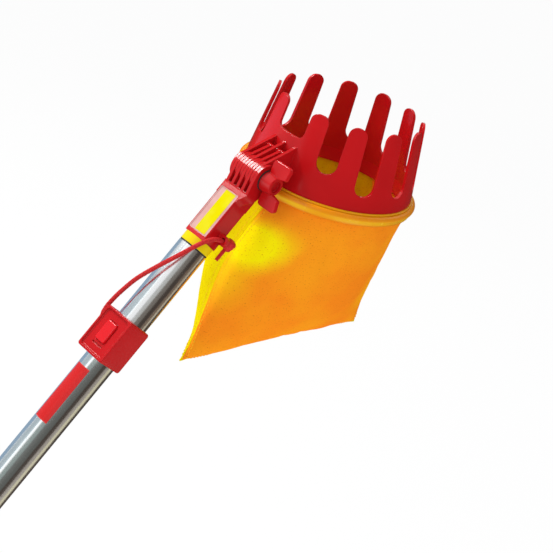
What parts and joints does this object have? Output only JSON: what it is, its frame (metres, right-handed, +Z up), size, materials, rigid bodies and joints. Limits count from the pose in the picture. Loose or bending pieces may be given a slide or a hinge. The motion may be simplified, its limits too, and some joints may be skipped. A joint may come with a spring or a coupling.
{
  "type": "fruit picker head",
  "caption": "Crown of rounded upright fingers over a sewn cloth bag, tilting on an interleaved wing-nut hinge, on an arm plugged into a pole end with a button catch and a safety cord.",
  "frame": {"origin": "centre of the pole tube's open lower end", "axes": "+Z up along the crown's axis, +X from the pole to the crown, the wing nut on the -Y side"},
  "size_m": [0.4571, 0.173, 0.3805],
  "materials": {
    "red_plastic": "glossy moulded",
    "yellow_plastic": "moulded",
    "cloth": "woven, sewn",
    "aluminium": "bright drawn tube",
    "steel": "zinc plated",
    "dark_washer": "dark",
    "red_sticker": "printed film",
    "pale_plate": "moulded",
    "yellow_label": "film",
    "cord": "braided"
  },
  "bodies": {
    "pole": {"pole_tube": "aluminium", "pole_label": "red_sticker", "catch_housing": "red_plastic", "housing_rivet": "steel", "catch_spring": "steel", "plug": "yellow_plastic", "mouth_seal": "dark_washer", "plug_screw": "steel", "arm": "red_plastic", "arm_badge": "pale_plate", "arm_label": "yellow_label", "hinge_washer": "dark_washer", "safety_cord": "cord", "knot_upper": "cord", "knot_lower": "cord"},
    "head": {"crown": "red_plastic", "bag_ring": "yellow_plastic", "bag": "cloth", "hinge_bolt": "steel"},
    "clamp": {"wing_nut": "red_plastic", "nut_insert": "steel"},
    "button": {"release_button": "red_plastic"},
    "pin": {"catch_pin": "steel"}
  },
  "joints": [
    {"name": "head_tilt", "type": "hinge", "parent": "pole", "child": "head", "pos_m": [0.21468, 0, 0.30944], "axis": [0, 1, 0], "range_deg": [-75, 20]},
    {"name": "nut_turn", "type": "hinge", "parent": "head", "child": "clamp", "pos_m": [0.21468, 0, 0.30944], "axis": [0, 1, 0], "continuous": true},
    {"name": "button_press", "type": "slide", "parent": "pole", "child": "button", "axis": [0.8161, 0, -0.5779], "range_m": [0, 0.0025], "stiffness_N_per_m": 1500, "springref_m": -0.002},
    {"name": "pin_press", "type": "slide", "parent": "pole", "child": "pin", "axis": [0.8161, 0, -0.5779], "range_m": [0, 0.0025], "deforming": ["catch_spring"]}
  ],
  "couplings": [
    {"joint": "pin_press", "follows": "button_press", "ratio": 1}
  ]
}
